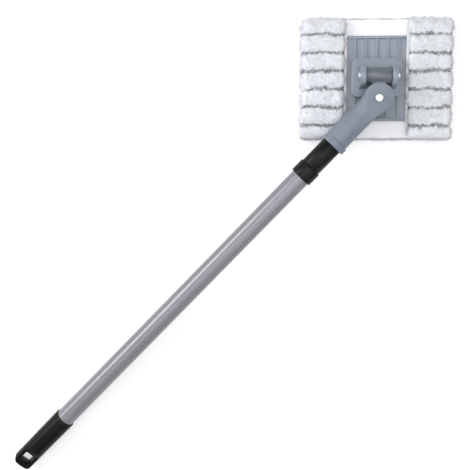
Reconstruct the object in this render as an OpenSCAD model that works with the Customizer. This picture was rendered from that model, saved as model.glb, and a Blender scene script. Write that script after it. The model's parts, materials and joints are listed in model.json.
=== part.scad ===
// Flat mop for bathroom and tile walls: a microfibre pad on a plastic base plate,
// a two-axis knuckle joint, and a telescopic twist-lock pole.
// The mop lies at rest with its wiping face on the floor and its pole folded down beside it.
// X runs along the pad's length, Y across it, and Z up from the wiping face.

/* [Pad] */
// Length of the pad, along X
pad_l = 170; // [150:1:220]
// Width of the pad, along Y
pad_w = 135; // [120:1:160]
// Height of the wiping pile
pile_t = 10.5; // [8:0.5:11]
// Thickness of the wadding under the pile
wadding_t = 1.5; // [1:0.1:2]
// Thickness of the woven backing
backing_t = 1; // [0.6:0.1:1.2]
// Corner radius of the pad
pad_corner_r = 4.5; // [4:0.5:14]
// Height of a pocket above the backing
pocket_t = 10; // [8:0.5:10.5]
// Half the gap between the two pockets
pocket_mouth_x = 36; // [32:1:42]

/* [Base plate] */
// Length of the plate
plate_l = 150; // [130:1:154]
// Width of the plate
plate_w = 94; // [80:1:96]
// Thickness of the plate
plate_t = 3.5; // [2.5:0.1:4]
// Height of the ribs above the plate
rib_h = 2.5; // [1:0.1:3]
// Length of the raised pedestal
pedestal_l = 56; // [50:1:60]
// Width of the pedestal
pedestal_w = 42; // [36:1:44]

/* [Knuckle joint] */
// Height of the tilt axis above the floor
tilt_h = 46.3; // [45:0.1:48]
// Distance from the tilt axis to the swivel axis
knuckle_l = 24; // [24:0.5:28]
// Diameter of both hinge pins
hinge_pin_d = 6; // [5:0.5:6]
// Angle of the pole from straight ahead at rest
swivel_rest = 43.8; // [0:0.1:60]

/* [Neck] */
// Distance from the swivel axis to the neck's mouth
neck_l = 71; // [66:1:80]
// Outer diameter at the mouth
neck_d = 27.2; // [26:0.1:29]
// Outer diameter of the reinforcing half ring
neck_ring_d = 30.2; // [28:0.1:31]
// Length of the half ring
neck_ring_l = 7; // [4:0.5:10]

/* [Pole] */
// Outer diameter of the outer tube
outer_tube_d = 22; // [21:0.5:23]
// Outer diameter of the inner tube
inner_tube_d = 19; // [18:0.5:19.2]
// Wall of both tubes
tube_wall = 0.8; // [0.6:0.1:1]
// Outer diameter of the black socket
socket_d = 23.4; // [22.5:0.1:24]
// Length of the socket that shows between the neck and the collar
socket_show_l = 32.2; // [28:0.1:40]
// Outer diameter of the collar
collar_d = 26; // [25:0.1:28]
// Length of the collar
collar_l = 16.2; // [14:0.1:20]
// Distance from the swivel axis to the grip's mouth
grip_mouth = 517; // [500:1:560]
// Length of the grip
grip_l = 82; // [78:1:90]
// Diameter of the grip at its mouth
grip_mouth_d = 24.8; // [24.4:0.1:26]
// Diameter of the grip near its end
grip_end_d = 23.7; // [23:0.1:25]
// Thickness of the flattened end
grip_flat_t = 13; // [11:0.5:16]
// Width of the hanging hole
hang_w = 13; // [9:0.5:14]
// Length of the hanging hole
hang_l = 14.3; // [9:0.1:15]
// Angle that the grip's flat end is turned about the pole
grip_turn = 13; // [0:1:45]

/* [Twist lock] */
// Length of the expander sleeve
expander_l = 22; // [18:1:24]
// Diameter of the threaded spindle
spindle_d = 6; // [5:0.5:7]

/* [Hidden] */
$fn = 64;

eps = 0.01;               // overrun of a cut
fit = 0.05;               // radial clearance of a running fit
snug = 0.02;              // radial clearance of a pressed fit
gap = 0.5;                // side gap between a fork and what it holds

// Heights of the pad's layers and of the plate
backing_z = pile_t + wadding_t;
plate_z = backing_z + backing_t;
plate_top = plate_z + plate_t;
plate_corner_r = 8;
pedestal_top = 27;
pedestal_wall = 2.6;
pedestal_corner_r = 7;
rib_t = 2;
rib_pitch = 12;
rib_inset = 3;            // end of a rib inside the plate's long edge
border_inset = 4;         // end of a border inside the pocket's mouth

// Pocket
pocket_inset = 1.2;       // pocket edge inside the pad's edge
cavity_gap = 0.4;         // clearance of the plate in its pocket
hem_w = 3.2;
hem_t = 1.6;

// Tilt hinge
hinge_pin_r = hinge_pin_d / 2;
ear_in = 14;              // inner face of an ear, from the middle
ear_t = 6;
ear_r = 11;
ear_foot = 12.5;          // half the ear's width where it meets the pedestal
ear_out = ear_in + ear_t;
pin_head_r = 4.5;
pin_head_t = 2;
washer_r = 5.5;
washer_t = 1;
pin_tail = 2.5;           // end of a pin beyond what it holds

// Knuckle
barrel_r = 8.5;
eye_r = 9;
eye_half = 7;             // half the eye's height along the swivel axis
web_w = 15;

// Neck yoke
cheek_r = 16;
cheek_out = 12.4;         // outer face of a cheek, from the middle
cheek_in = eye_half + gap;
slot_root = 13;           // depth of the fork's slot beyond the swivel axis
fan_end = 50;             // where the cheeks have narrowed into the round neck
fan_end_half = 5;
neck_root_r = 13.1;
ring_cut = -6;            // the half ring starts here, across the neck

// Socket
spigot_r = 11;
spigot_l = 30;
socket_end = neck_l + socket_show_l;
tube_seat = neck_l - 12;  // end of the inner tube inside the socket
rivet_z = neck_l + 18;
rivet_r = 1.6;
rivet_clear = 0.1;

// Pole: places along the pole, from the swivel axis
outer_r = outer_tube_d / 2;
outer_bore = outer_r - tube_wall;
inner_r = inner_tube_d / 2;
inner_bore = inner_r - tube_wall;
collar_top = socket_end + 0.6;
collar_lip = 2;
bush_flange_t = 2.5;
bush_l = 18;
outer_start = collar_top + collar_lip + bush_flange_t;
collar_r = collar_d / 2;
collar_round = 1;
outer_end = 568;
inner_end = 528;

// Grip
grip_end = grip_mouth + grip_l;
flat_start = grip_end - 32;
flat_full = grip_end - 20;
hang_far = grip_end - 6.8;
hang_mid = hang_far - hang_l / 2;
hang_corner = 1.2;
grip_bow_r = 14.3;        // radius of the bowed end
tip_chamfer = 2;
waist_steps = 10;         // points along the curve from the round to a flat

// Twist lock
plug_l = 24;
plug_flange_t = 2;
plug_floor = 4;           // solid end of the plug behind the spindle
spindle_r = spindle_d / 2;
spindle_out = 34;         // spindle beyond the plug
expander_start = inner_end + plug_flange_t + 1;
expander_r = outer_bore - 0.2;
expander_bore_small = spindle_r + 0.3;
expander_bore_large = 8.4;
expander_straight = 10;   // plain bore before the taper starts
expander_rise = (expander_bore_large - expander_bore_small) / (expander_l - expander_straight);
slit_w = 1.2;
cone_at = 5;              // start of the cone inside the taper
cone_l = 8;
cone_gap = 0.8;           // radial gap to the taper while the pole is unlocked
stop_t = 3;

// Slope of the folded pole, so that its grip just meets the floor where the flats start
rest_r = grip_mouth_d / 2 - (grip_mouth_d - grip_end_d) / 2 * (flat_start - grip_mouth) / grip_l;
rest_reach = knuckle_l + flat_start * cos(swivel_rest);
fold_slope = asin((tilt_h - rest_r) / rest_reach);

// Frames ---------------------------------------------------------------

// Knuckle frame: tilt axis along X at the origin, knuckle towards -Y, swivel axis along Z
module on_knuckle() { translate([0, 0, tilt_h]) rotate([fold_slope, 0, 0]) children(); }

// Pole frame: swivel axis along Y at the origin, pole along +Z
module on_pole() {
    on_knuckle() translate([0, -knuckle_l, 0]) rotate([0, 0, -swivel_rest]) rotate([90, 0, 0]) children();
}

// Shared shapes --------------------------------------------------------

// Rectangle with round corners, centred
module round_rect(l, w, r) {
    square([l - 2 * r, w], center = true);
    square([l, w - 2 * r], center = true);
    for (sx = [-1, 1], sy = [-1, 1]) translate([sx * (l / 2 - r), sy * (w / 2 - r)]) circle(r);
}

// Slab with round corners, standing on z0
module round_slab(l, w, r, z0, h) { translate([0, 0, z0]) linear_extrude(h) round_rect(l, w, r); }

// Ring along Z from z0, h long
module ring(r_out, r_in, z0, h) {
    translate([0, 0, z0]) difference() {
        cylinder(r = r_out, h = h);
        translate([0, 0, -eps]) cylinder(r = r_in, h = h + 2 * eps);
    }
}

// Outline of a disc that narrows with straight sides to a bar of half width w at distance d along +Y.
// The sides start just inside the disc's edge, so they cross it cleanly.
module teardrop(r, d, w) {
    shoulder = 0.975 * r;
    circle(r);
    polygon([[shoulder, 0], [w, d], [-w, d], [-shoulder, 0]]);
}

// Headed pin along Z, its shank from z0 to z1 and its head below z0
module headed_pin(z0, z1) {
    translate([0, 0, z0]) cylinder(r = hinge_pin_r, h = z1 - z0);
    translate([0, 0, z0 - pin_head_t]) cylinder(r1 = pin_head_r - 1, r2 = pin_head_r, h = 1);
    translate([0, 0, z0 - pin_head_t + 1]) cylinder(r = pin_head_r, h = pin_head_t - 1);
}

// Pad ------------------------------------------------------------------

module pad_pile() { color("whitesmoke") round_slab(pad_l, pad_w, pad_corner_r, 0, pile_t); }

module pad_wadding() {
    color("ivory") round_slab(pad_l - 6, pad_w - 6, pad_corner_r - 3, pile_t, wadding_t);
}

module pad_backing() {
    color("gainsboro") round_slab(pad_l - 4, pad_w - 4, pad_corner_r - 2, backing_z, backing_t);
}

// Pocket over one end of the plate: side is 1 for the right end and -1 for the left
module pocket(side) {
    out_x = pad_l / 2 - pocket_inset;
    half_w = pad_w / 2 - pocket_inset;
    mirror([side < 0 ? 1 : 0, 0, 0]) difference() {
        translate([0, 0, plate_z]) linear_extrude(pocket_t) intersection() {
            round_rect(2 * out_x, 2 * half_w, pad_corner_r);
            translate([pocket_mouth_x, -half_w]) square([out_x - pocket_mouth_x, 2 * half_w]);
        }
        translate([0, -plate_w / 2 - cavity_gap, plate_z - eps])
            cube([plate_l / 2 + cavity_gap, plate_w + 2 * cavity_gap, plate_t + cavity_gap]);
    }
}

module pocket_left() { color("white") pocket(-1); }

module pocket_right() { color("white") pocket(1); }

module pocket_hems() {
    color("lightgray") for (side = [-1, 1])
        translate([side * (pocket_mouth_x - hem_w / 2), 0, plate_top + cavity_gap + hem_t / 2])
            cube([hem_w, plate_w + 4, hem_t], center = true);
}

// Base plate -----------------------------------------------------------

// Side view of an ear, with its bore left for the cut
module ear_outline() {
    drop = tilt_h - pedestal_top;
    reach = sqrt(ear_foot * ear_foot + drop * drop);
    tangent = acos(ear_r / reach) - atan2(drop, ear_foot);
    translate([0, tilt_h]) circle(ear_r);
    polygon([[-ear_foot, pedestal_top - 1], [ear_foot, pedestal_top - 1],
             [ear_r * cos(tangent), tilt_h + ear_r * sin(tangent)],
             [-ear_r * cos(tangent), tilt_h + ear_r * sin(tangent)]]);
}

module base_plate() {
    color("slategray") difference() {
        union() {
            round_slab(plate_l, plate_w, plate_corner_r, plate_z, plate_t);
            round_slab(pedestal_l, pedestal_w, pedestal_corner_r,
                       plate_top - eps, pedestal_top - plate_top + eps);
            // ribs that run from the pedestal to the long edges
            for (i = [-2:2], s = [-1, 1])
                translate([i * rib_pitch - rib_t / 2, s > 0 ? pedestal_w / 2 - 1 : rib_inset - plate_w / 2,
                           plate_top - eps])
                    cube([rib_t, (plate_w - pedestal_w) / 2 - rib_inset + 1, rib_h + eps]);
            // low border along the long edges
            for (s = [-1, 1])
                translate([border_inset - pocket_mouth_x, s * (plate_w / 2 - rib_t) - rib_t / 2,
                           plate_top - eps])
                    cube([2 * (pocket_mouth_x - border_inset), rib_t, rib_h + eps]);
            for (s = [-1, 1]) translate([s > 0 ? ear_in : -ear_out, 0, 0])
                rotate([90, 0, 90]) linear_extrude(ear_t) ear_outline();
        }
        // hollow underside of the pedestal
        round_slab(pedestal_l - 2 * pedestal_wall, pedestal_w - 2 * pedestal_wall,
                   pedestal_corner_r - pedestal_wall, plate_z - eps,
                   pedestal_top - pedestal_wall - plate_z + eps);
        translate([-ear_out - eps, 0, tilt_h]) rotate([0, 90, 0])
            cylinder(r = hinge_pin_r + snug, h = 2 * ear_out + 2 * eps);
    }
}

module tilt_pin() {
    color("silver") translate([0, 0, tilt_h]) rotate([0, 90, 0]) headed_pin(-ear_out, ear_out + pin_tail);
}

module tilt_pin_washer() {
    color("silver") translate([0, 0, tilt_h]) rotate([0, 90, 0])
        ring(washer_r, hinge_pin_r + snug, ear_out, washer_t);
}

// Knuckle --------------------------------------------------------------

module knuckle() {
    barrel_half = ear_in - gap;
    color("dimgray") on_knuckle() difference() {
        union() {
            rotate([0, 90, 0]) cylinder(r = barrel_r, h = 2 * barrel_half, center = true);
            translate([0, -knuckle_l, 0]) cylinder(r = eye_r, h = 2 * eye_half, center = true);
            translate([-web_w / 2, -knuckle_l, -eye_half + 1]) cube([web_w, knuckle_l, 2 * eye_half - 2]);
        }
        rotate([0, 90, 0]) cylinder(r = hinge_pin_r + fit, h = 2 * ear_in, center = true);
        translate([0, -knuckle_l, 0]) cylinder(r = hinge_pin_r + fit, h = 4 * eye_half, center = true);
    }
}

module swivel_pin() {
    color("silver") on_pole() rotate([90, 0, 0]) headed_pin(-cheek_out, cheek_out + pin_tail);
}

module swivel_pin_washer() {
    color("silver") on_pole() rotate([90, 0, 0]) ring(washer_r, hinge_pin_r + snug, cheek_out, washer_t);
}

// Neck and socket ------------------------------------------------------

module neck_yoke() {
    color("gray") on_pole() difference() {
        union() {
            rotate([90, 0, 0]) linear_extrude(2 * cheek_out, center = true)
                teardrop(cheek_r, fan_end, fan_end_half);
            translate([0, 0, slot_root]) cylinder(r1 = neck_root_r, r2 = neck_d / 2, h = neck_l - slot_root);
            // half ring at the mouth
            intersection() {
                translate([0, 0, neck_l - neck_ring_l]) cylinder(r = neck_ring_d / 2, h = neck_ring_l);
                translate([ring_cut, -neck_ring_d, neck_l - neck_ring_l - 1])
                    cube([neck_ring_d, 2 * neck_ring_d, neck_ring_l + 1]);
            }
        }
        translate([-2 * cheek_r, -cheek_in, -2 * cheek_r])
            cube([4 * cheek_r, 2 * cheek_in, 2 * cheek_r + slot_root]);
        translate([0, 0, neck_l - spigot_l]) cylinder(r = spigot_r + snug, h = spigot_l + eps);
        rotate([90, 0, 0]) cylinder(r = hinge_pin_r + snug, h = 4 * cheek_out, center = true);
    }
}

module pole_socket() {
    color("#26272a") on_pole() difference() {
        union() {
            translate([0, 0, neck_l - spigot_l + 0.5]) cylinder(r = spigot_r, h = spigot_l);
            translate([0, 0, neck_l]) cylinder(r = socket_d / 2, h = socket_show_l);
        }
        translate([0, 0, tube_seat]) cylinder(r = inner_r + snug, h = socket_end - tube_seat + eps);
        translate([0, 0, neck_l - spigot_l]) cylinder(r = inner_bore, h = spigot_l);
        translate([0, 0, rivet_z]) rotate([90, 0, 0]) cylinder(r = rivet_r + rivet_clear, h = socket_d);
    }
}

module socket_rivet() {
    head_r = 2.8;
    tail = inner_bore - 0.6;
    color("silver") on_pole() translate([0, 0, rivet_z]) rotate([90, 0, 0]) {
        translate([0, 0, tail]) cylinder(r = rivet_r, h = socket_d / 2 - tail);
        translate([0, 0, socket_d / 2]) cylinder(r1 = head_r, r2 = head_r - 1, h = 0.9);
    }
}

module inner_tube() {
    color("lightsteelblue") on_pole() difference() {
        ring(inner_r, inner_bore, tube_seat, inner_end - tube_seat);
        translate([0, 0, rivet_z]) rotate([90, 0, 0]) cylinder(r = rivet_r + rivet_clear, h = socket_d);
    }
}

// Twist lock -----------------------------------------------------------

module lock_plug() {
    color("black") on_pole() difference() {
        union() {
            translate([0, 0, inner_end - plug_l]) cylinder(r = inner_bore - snug, h = plug_l);
            translate([0, 0, inner_end]) cylinder(r = inner_r, h = plug_flange_t);
        }
        translate([0, 0, inner_end - plug_l + plug_floor])
            cylinder(r = spindle_r + snug, h = plug_l + plug_flange_t);
    }
}

module lock_spindle() {
    color("silver") on_pole() translate([0, 0, inner_end - plug_l + plug_floor])
        cylinder(r = spindle_r, h = plug_l - plug_floor + plug_flange_t + spindle_out);
}

module spindle_stop() {
    color("silver") on_pole() ring(spindle_r + 2, spindle_r + snug,
                                   inner_end + plug_flange_t + spindle_out - stop_t, stop_t);
}

// Expander: a slit sleeve, its bore opening into a cone away from the plug
module expander_sleeve() {
    color("white") on_pole() translate([0, 0, expander_start]) difference() {
        rotate_extrude() polygon([[expander_bore_small, 0], [expander_r, 0], [expander_r, expander_l],
                                  [expander_bore_large, expander_l],
                                  [expander_bore_small, expander_straight]]);
        for (a = [0, 90]) rotate([0, 0, a]) translate([-slit_w / 2, -expander_r - 1, expander_straight])
            cube([slit_w, 2 * expander_r + 2, expander_l]);
    }
}

module cone_nut() {
    small = expander_bore_small + expander_rise * cone_at - cone_gap;
    color("black") on_pole() translate([0, 0, expander_start + expander_straight + cone_at]) difference() {
        cylinder(r1 = small, r2 = small + expander_rise * cone_l, h = cone_l);
        translate([0, 0, -eps]) cylinder(r = spindle_r + fit, h = cone_l + 2 * eps);
    }
}

// Outer tube and its fittings ------------------------------------------

module outer_tube() {
    color("darkgray") on_pole() ring(outer_r, outer_bore, outer_start, outer_end - outer_start);
}

module guide_bush() {
    color("black") on_pole() union() {
        ring(outer_bore - snug, inner_r + fit, outer_start - eps, bush_l);
        ring(outer_r + 0.8, inner_r + fit, outer_start - bush_flange_t, bush_flange_t);
    }
}

module collar() {
    color("#1d1e20") on_pole() translate([0, 0, collar_top]) rotate_extrude()
        polygon([[inner_r + 0.4, 0], [collar_r - collar_round, 0], [collar_r, collar_round],
                 [collar_r, collar_l - 0.5], [collar_r - 0.5, collar_l], [outer_r + snug, collar_l],
                 [outer_r + snug, collar_lip + bush_flange_t],
                 [outer_r + 0.8 + snug, collar_lip + bush_flange_t],
                 [outer_r + 0.8 + snug, collar_lip], [inner_r + 0.4, collar_lip]]);
}

// Plan of the grip: straight sides and a bowed end
module grip_plan() {
    half = grip_mouth_d / 2 + 1;
    translate([-half, grip_mouth - 1]) square([2 * half, grip_l + 1 - grip_bow_r]);
    translate([0, grip_end - grip_bow_r]) circle(grip_bow_r);
}

// Side view of the grip: full depth, then two flats that leave a blade
module grip_side() {
    half = grip_mouth_d / 2 + 1;
    blade = grip_flat_t / 2;
    waist = [for (i = [0:waist_steps]) let (k = i / waist_steps)
        [blade + (half - blade) * (1 + cos(180 * k)) / 2, flat_start + (flat_full - flat_start) * k]];
    side = concat([[half, grip_mouth - 1]], waist,
                  [[blade, grip_end - tip_chamfer], [blade - tip_chamfer, grip_end + eps]]);
    polygon(concat(side, [for (i = [len(side) - 1:-1:0]) [-side[i][0], side[i][1]]]));
}

module grip() {
    color("#202124") on_pole() rotate([0, 0, -grip_turn]) difference() {
        intersection() {
            translate([0, 0, grip_mouth])
                cylinder(r1 = grip_mouth_d / 2, r2 = grip_end_d / 2, h = grip_l);
            rotate([90, 0, 0]) linear_extrude(2 * grip_end_d, center = true) grip_plan();
            rotate([90, 0, 90]) linear_extrude(2 * grip_end_d, center = true) grip_side();
        }
        translate([0, 0, grip_mouth - eps]) cylinder(r = outer_r + snug, h = outer_end - grip_mouth + 0.3);
        rotate([90, 0, 0]) translate([0, hang_mid, -grip_end_d])
            linear_extrude(2 * grip_end_d) round_rect(hang_w, hang_l, hang_corner);
    }
}

pad_pile();
pad_wadding();
pad_backing();
pocket_left();
pocket_right();
pocket_hems();
base_plate();
tilt_pin();
tilt_pin_washer();
knuckle();
swivel_pin();
swivel_pin_washer();
neck_yoke();
pole_socket();
socket_rivet();
inner_tube();
lock_plug();
lock_spindle();
spindle_stop();
expander_sleeve();
cone_nut();
outer_tube();
guide_bush();
collar();
grip();
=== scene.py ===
"""Looks of a flat mop: fluffy striped pad, grey plate and neck, and a telescopic pole, in one studio."""

import json
import logging
import math
from dataclasses import dataclass, replace
from enum import Enum

import bmesh
import bpy
import numpy as np
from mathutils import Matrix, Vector

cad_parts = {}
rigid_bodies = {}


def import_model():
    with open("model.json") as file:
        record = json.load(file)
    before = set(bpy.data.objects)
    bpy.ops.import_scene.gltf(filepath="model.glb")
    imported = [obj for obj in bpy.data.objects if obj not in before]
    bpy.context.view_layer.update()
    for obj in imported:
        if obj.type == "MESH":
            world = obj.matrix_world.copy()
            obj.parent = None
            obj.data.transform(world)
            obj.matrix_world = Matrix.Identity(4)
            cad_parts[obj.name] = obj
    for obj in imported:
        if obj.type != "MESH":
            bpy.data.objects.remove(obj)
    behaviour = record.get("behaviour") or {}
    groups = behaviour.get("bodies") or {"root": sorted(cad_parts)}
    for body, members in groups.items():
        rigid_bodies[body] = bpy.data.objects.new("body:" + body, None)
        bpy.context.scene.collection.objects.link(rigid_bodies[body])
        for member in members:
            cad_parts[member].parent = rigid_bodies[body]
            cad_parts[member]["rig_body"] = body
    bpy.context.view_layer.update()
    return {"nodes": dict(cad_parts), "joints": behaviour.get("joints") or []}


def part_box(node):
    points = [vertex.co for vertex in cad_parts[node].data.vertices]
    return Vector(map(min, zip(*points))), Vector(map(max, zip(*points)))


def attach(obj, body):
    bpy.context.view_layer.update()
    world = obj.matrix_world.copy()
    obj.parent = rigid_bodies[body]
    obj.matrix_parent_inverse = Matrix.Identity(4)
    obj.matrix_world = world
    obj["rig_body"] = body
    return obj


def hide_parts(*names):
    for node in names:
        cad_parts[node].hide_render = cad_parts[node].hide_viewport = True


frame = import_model()
MM = 0.001
WAVE_STEPS = 20
TINY = 1e-9
SAME_PLACE = 1e-6
FLAT_ANGLE = math.radians(0.5)
SHARP_ANGLE = math.radians(32)
NEARLY_ALONG = 0.9
CLOTH_BODY = {"quality": 6, "mass": 0.15, "tension_stiffness": 12, "compression_stiffness": 12,
              "bending_stiffness": 0.4}
LOG = logging.getLogger("flat_mop")
Array = np.ndarray
Material = bpy.types.Material
NodeTree = bpy.types.NodeTree
NodeSocket = bpy.types.NodeSocket


class Side(Enum):
    """An end of the pad, by its sign along X."""

    LEFT = -1
    RIGHT = 1


# Colour and node helpers -------------------------------------------------


def linear(hex_colour: str) -> tuple[float, float, float, float]:
    """Turns an sRGB hex colour into linear light.

    Args:
        hex_colour: Six hex digits, such as "8a8d92".

    Returns:
        Red, green, blue and an alpha of 1.
    """
    parts = [int(hex_colour[i : i + 2], 16) / 255 for i in (0, 2, 4)]
    return tuple(c / 12.92 if c <= 0.04045 else ((c + 0.055) / 1.055) ** 2.4 for c in parts) + (1.0,)


def add(tree: NodeTree, kind: str, settings: dict | None = None, **links: NodeSocket) -> bpy.types.Node:
    """Adds a node with its settings and its links.

    Args:
        tree: The node tree that gets the node.
        kind: The node's type name.
        settings: Attribute names, or input names or indices, and their values.
        **links: Input names, with _ for a space, or i and an input's number, and the sockets that feed them.

    Returns:
        The new node.
    """
    node = tree.nodes.new(kind)
    for key, value in (settings or {}).items():
        if isinstance(key, str) and hasattr(node, key):
            setattr(node, key, value)
        else:
            node.inputs[key].default_value = value
    for name, socket in links.items():
        key = int(name[1:]) if name[0] == "i" and name[1:].isdigit() else name.replace("_", " ")
        tree.links.new(socket, node.inputs[key])
    return node


def ramp(tree: NodeTree, fac: NodeSocket, stops: list[tuple[float, str]]) -> NodeSocket:
    """Maps a value to colours.

    Args:
        tree: The node tree.
        fac: The value that picks the colour.
        stops: Places from 0 to 1 with their hex colours.

    Returns:
        The colour output.
    """
    node = add(tree, "ShaderNodeValToRGB", Fac=fac)
    points = node.color_ramp.elements
    while len(points) < len(stops):
        points.new(0.5)
    for point, (place, colour) in zip(points, stops):
        point.position = place
        point.color = linear(colour)
    return node.outputs["Color"]


def new_tree(name: str) -> tuple[Material, NodeTree, bpy.types.Node]:
    """Starts a material.

    Args:
        name: The material's name.

    Returns:
        The material, its node tree and its main shader.
    """
    material = bpy.data.materials.new(name)
    material.use_nodes = True
    tree = material.node_tree
    return material, tree, tree.nodes["Principled BSDF"]


def object_space(tree: NodeTree, turn: tuple = (0, 0, 0), stretch: tuple = (1, 1, 1)) -> NodeSocket:
    """Gives Object coordinates, turned and stretched by a Mapping node.

    Args:
        tree: The node tree.
        turn: Rotation in radians.
        stretch: Scale along each axis after the turn.

    Returns:
        The vector output.
    """
    coords = add(tree, "ShaderNodeTexCoord")
    turned = add(tree, "ShaderNodeMapping", {"Rotation": turn}, Vector=coords.outputs["Object"])
    scaled = add(tree, "ShaderNodeMapping", {"Scale": stretch}, Vector=turned.outputs["Vector"])
    return scaled.outputs["Vector"]


def per_metre(size_mm: float) -> float:
    """Turns a feature's size in millimetres into a texture scale in metres."""
    return 1.0 / (size_mm * MM)


# Finishes ----------------------------------------------------------------


@dataclass(frozen=True)
class MouldedPlastic:
    """Injection moulded ABS or PP: even colour, fine spark-eroded grain and a soft, broad highlight."""

    name: str
    colour: str
    dark: str
    roughness: float = 0.5
    gloss: float = 0.5
    grain_mm: float = 0.9
    grain_depth: float = 0.08
    flow_mm: float = 30.0
    gloss_spread: float = 0.07

    def material(self) -> Material:
        """Builds the plastic's material, and returns it."""
        material, tree, shader = new_tree(self.name)
        where = object_space(tree)
        # broad mottling of the melt gives the eye a moulded part and not flat paint
        flow_scale, grain_scale = per_metre(self.flow_mm), per_metre(self.grain_mm)
        flow = add(tree, "ShaderNodeTexNoise", {"Scale": flow_scale, "Detail": 4.0}, Vector=where)
        # the real grain is about 0.1 mm; it is drawn coarser so that it shows
        grain = add(tree, "ShaderNodeTexNoise", {"Scale": grain_scale, "Detail": 3.0}, Vector=where)
        tone = ramp(tree, flow.outputs["Fac"], [(0.35, self.dark), (0.65, self.colour)])
        tree.links.new(tone, shader.inputs["Base Color"])
        rough = add(
            tree, "ShaderNodeMapRange",
            {"To Min": self.roughness - self.gloss_spread, "To Max": self.roughness + self.gloss_spread},
            Value=grain.outputs["Fac"],
        )
        tree.links.new(rough.outputs["Result"], shader.inputs["Roughness"])
        bump = add(
            tree, "ShaderNodeBump", {"Strength": self.grain_depth, "Distance": 0.2 * MM},
            Height=grain.outputs["Fac"],
        )
        tree.links.new(bump.outputs["Normal"], shader.inputs["Normal"])
        shader.inputs["IOR"].default_value = 1.5
        shader.inputs["Specular IOR Level"].default_value = self.gloss
        return material


@dataclass(frozen=True)
class LacqueredSteel:
    """Thin steel tube in silver-grey lacquer: faint flakes and drawn streaks, and a long soft highlight."""

    name: str
    colour: str
    light: str
    turn: tuple[float, float, float]
    roughness: float = 0.27
    metallic: float = 0.25
    gloss: float = 0.22
    streak_mm: float = 1.6
    streak_stretch: float = 0.02
    flake_mm: float = 0.7
    gloss_spread: float = 0.02

    def material(self) -> Material:
        """Builds the lacquer's material, and returns it."""
        material, tree, shader = new_tree(self.name)
        # the drawing die's streaks run along the tube and show faintly through the lacquer
        where = object_space(tree, turn=self.turn, stretch=(1, 1, self.streak_stretch))
        streak_scale = per_metre(self.streak_mm)
        streaks = add(tree, "ShaderNodeTexNoise", {"Scale": streak_scale, "Detail": 3.0}, Vector=where)
        # metal flake in the lacquer, 0.05 mm in life and drawn at flake_mm so that it shows
        flake_look = {"Scale": per_metre(self.flake_mm), "Detail": 2.0}
        flakes = add(tree, "ShaderNodeTexNoise", flake_look, Vector=object_space(tree))
        both = add(
            tree, "ShaderNodeMath", {"operation": "ADD"}, i0=streaks.outputs["Fac"], i1=flakes.outputs["Fac"],
        )
        half = add(tree, "ShaderNodeMath", {"operation": "MULTIPLY", 1: 0.5}, i0=both.outputs["Value"])
        tone = ramp(tree, half.outputs["Value"], [(0.35, self.colour), (0.65, self.light)])
        tree.links.new(tone, shader.inputs["Base Color"])
        rough = add(
            tree, "ShaderNodeMapRange",
            {"To Min": self.roughness - self.gloss_spread, "To Max": self.roughness + self.gloss_spread},
            Value=streaks.outputs["Fac"],
        )
        tree.links.new(rough.outputs["Result"], shader.inputs["Roughness"])
        height = flakes.outputs["Fac"]
        bump = add(tree, "ShaderNodeBump", {"Strength": 0.05, "Distance": 0.1 * MM}, Height=height)
        tree.links.new(bump.outputs["Normal"], shader.inputs["Normal"])
        shader.inputs["Metallic"].default_value = self.metallic
        shader.inputs["Specular IOR Level"].default_value = self.gloss
        return material


@dataclass(frozen=True)
class ZincSteel:
    """Zinc-plated steel pins and washers: bright grey metal, cloudy in its gloss."""

    name: str = "zinc_plated_steel"
    colour: str = "b9bcc0"
    light: str = "d3d5d8"
    cloud_mm: float = 2.5

    def material(self) -> Material:
        """Builds the plating's material, and returns it."""
        material, tree, shader = new_tree(self.name)
        # the crystals of the plating cloud its gloss
        cloud_look = {"Scale": per_metre(self.cloud_mm), "Detail": 4.0}
        clouds = add(tree, "ShaderNodeTexNoise", cloud_look, Vector=object_space(tree))
        tone = ramp(tree, clouds.outputs["Fac"], [(0.35, self.colour), (0.65, self.light)])
        tree.links.new(tone, shader.inputs["Base Color"])
        rough = add(tree, "ShaderNodeMapRange", {"To Min": 0.25, "To Max": 0.45}, Value=clouds.outputs["Fac"])
        tree.links.new(rough.outputs["Result"], shader.inputs["Roughness"])
        shader.inputs["Metallic"].default_value = 1.0
        return material


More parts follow.
